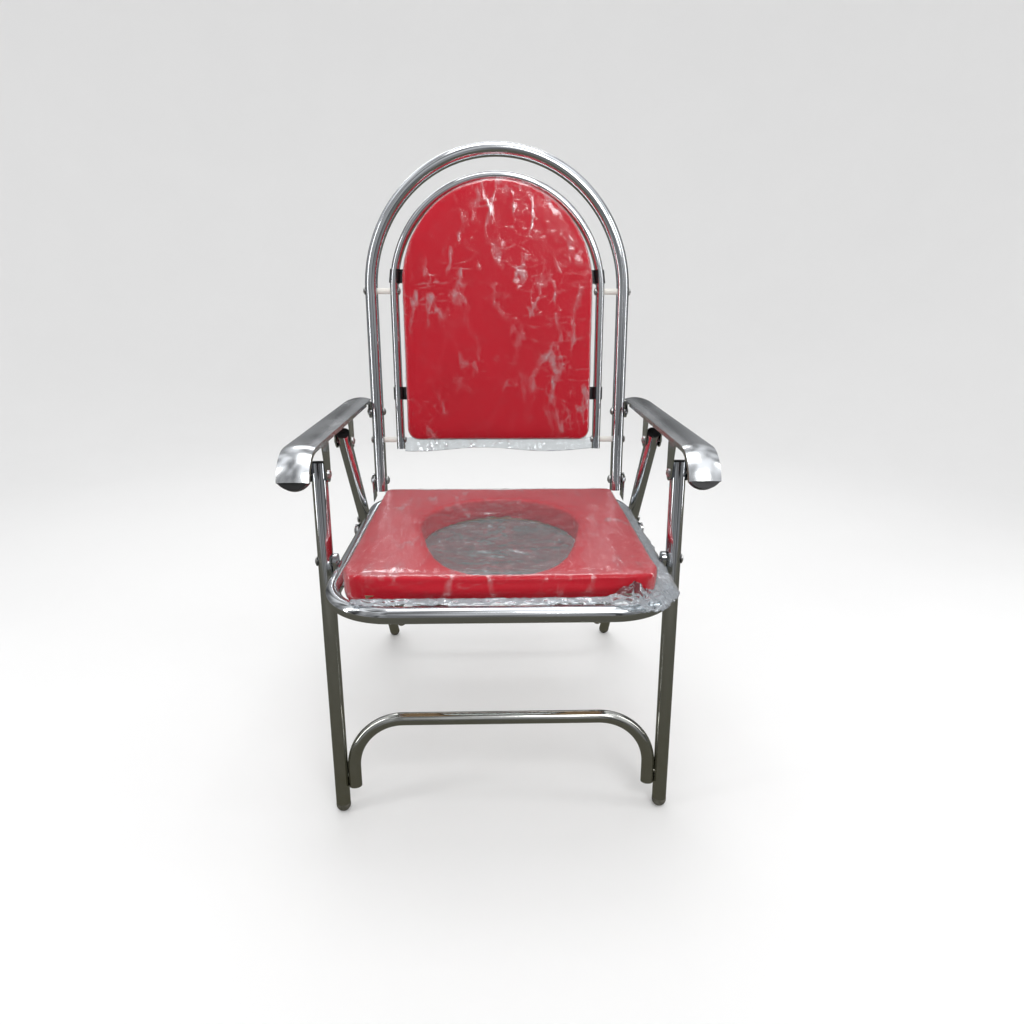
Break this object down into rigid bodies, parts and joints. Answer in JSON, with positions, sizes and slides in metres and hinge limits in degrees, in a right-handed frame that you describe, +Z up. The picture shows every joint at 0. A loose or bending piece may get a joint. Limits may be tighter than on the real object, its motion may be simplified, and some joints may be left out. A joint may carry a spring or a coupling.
{
  "type": "folding commode chair",
  "caption": "Folding chair of chromed tube with an opening in its upholstered seat, an arched upholstered back and stamped metal arms.",
  "frame": {"origin": "centre of the footprint of the whole chair's box, on the floor", "axes": "+X to the right seen from the front, +Y towards the back, +Z up"},
  "size_m": [0.5566, 0.7005, 0.9814],
  "materials": {
    "chrome_tube": "polished chrome plate on steel tube",
    "arm_chrome": "chrome plate on stamped sheet, slightly softer than the tube",
    "hardware": "zinc plated",
    "leatherette": "semi-gloss red leatherette",
    "board": "raw plywood",
    "black_plastic": "moulded black plastic",
    "white_plastic": "off-white nylon",
    "foot_rubber": "dark olive rubber",
    "film": "thin clear wrapping film"
  },
  "bodies": {
    "seat": {"seat_frame": "chrome_tube", "seat_front_lugs": "chrome_tube", "seat_rear_lugs": "chrome_tube", "seat_support_tabs": "chrome_tube", "seat_board": "board", "seat_cushion": "leatherette", "seat_board_screws": "hardware", "seat_leg_bolts": "hardware", "seat_back_bolts": "hardware", "seat_link_bolts": "hardware"},
    "front_legs": {"front_leg_left": "chrome_tube", "front_leg_right": "chrome_tube", "front_stretcher": "chrome_tube", "front_stretcher_pins": "hardware", "front_feet": "foot_rubber", "front_leg_plugs": "black_plastic"},
    "backrest": {"outer_back_arch": "chrome_tube", "inner_back_arch": "chrome_tube", "back_spacers": "white_plastic", "back_through_bolts": "hardware", "back_board": "board", "back_cushion": "leatherette", "back_clips": "black_plastic", "back_clip_screws": "hardware", "arm_hinge_bolts": "hardware"},
    "left_arm": {"arm_shell_left": "arm_chrome", "arm_front_bracket_left": "chrome_tube", "arm_rear_bracket_left": "chrome_tube", "arm_hinge_tab_left": "chrome_tube", "arm_end_plug_left": "black_plastic", "arm_rivets_left": "hardware", "arm_pivot_bolts_left": "hardware"},
    "right_arm": {"arm_shell_right": "arm_chrome", "arm_front_bracket_right": "chrome_tube", "arm_rear_bracket_right": "chrome_tube", "arm_hinge_tab_right": "chrome_tube", "arm_end_plug_right": "black_plastic", "arm_rivets_right": "hardware", "arm_pivot_bolts_right": "hardware"},
    "rear_legs": {"rear_leg_left": "chrome_tube", "rear_leg_right": "chrome_tube", "rear_stretcher": "chrome_tube", "rear_stretcher_pins": "hardware", "rear_feet": "foot_rubber", "rear_leg_plugs": "black_plastic", "rear_link_bolts": "hardware"},
    "left_link": {"link_left": "chrome_tube"},
    "right_link": {"link_right": "chrome_tube"}
  },
  "joints": [
    {"name": "back_fold", "type": "hinge", "parent": "seat", "child": "backrest", "pos_m": [0, 0.14746, 0.4298], "axis": [1, 0, 0], "range_deg": [0, 70]},
    {"name": "front_leg_fold", "type": "hinge", "parent": "seat", "child": "front_legs", "pos_m": [0, -0.18102, 0.398], "axis": [1, 0, 0], "range_deg": [0, 70]},
    {"name": "left_arm_hinge", "type": "hinge", "parent": "backrest", "child": "left_arm", "pos_m": [0, 0.16899, 0.55192], "axis": [1, 0, 0], "range_deg": [-70, 0]},
    {"name": "right_arm_hinge", "type": "hinge", "parent": "backrest", "child": "right_arm", "pos_m": [0, 0.16899, 0.55192], "axis": [1, 0, 0], "range_deg": [-70, 0]},
    {"name": "rear_leg_fold", "type": "hinge", "parent": "left_arm", "child": "rear_legs", "pos_m": [0, 0.0168, 0.53], "axis": [1, 0, 0], "range_deg": [0, 60.3]},
    {"name": "left_link_hinge", "type": "hinge", "parent": "seat", "child": "left_link", "pos_m": [0, -0.0192, 0.388], "axis": [1, 0, 0], "range_deg": [0, 50.2]},
    {"name": "right_link_hinge", "type": "hinge", "parent": "seat", "child": "right_link", "pos_m": [0, -0.0192, 0.388], "axis": [1, 0, 0], "range_deg": [0, 50.2]}
  ],
  "couplings": [
    {"joint": "front_leg_fold", "follows": "back_fold", "ratio": 1},
    {"joint": "left_arm_hinge", "follows": "back_fold", "ratio": -1},
    {"joint": "right_arm_hinge", "follows": "back_fold", "ratio": -1},
    {"joint": "rear_leg_fold", "follows": "back_fold", "ratio": 0.86},
    {"joint": "left_link_hinge", "follows": "back_fold", "ratio": 0.715},
    {"joint": "right_link_hinge", "follows": "back_fold", "ratio": 0.715}
  ]
}
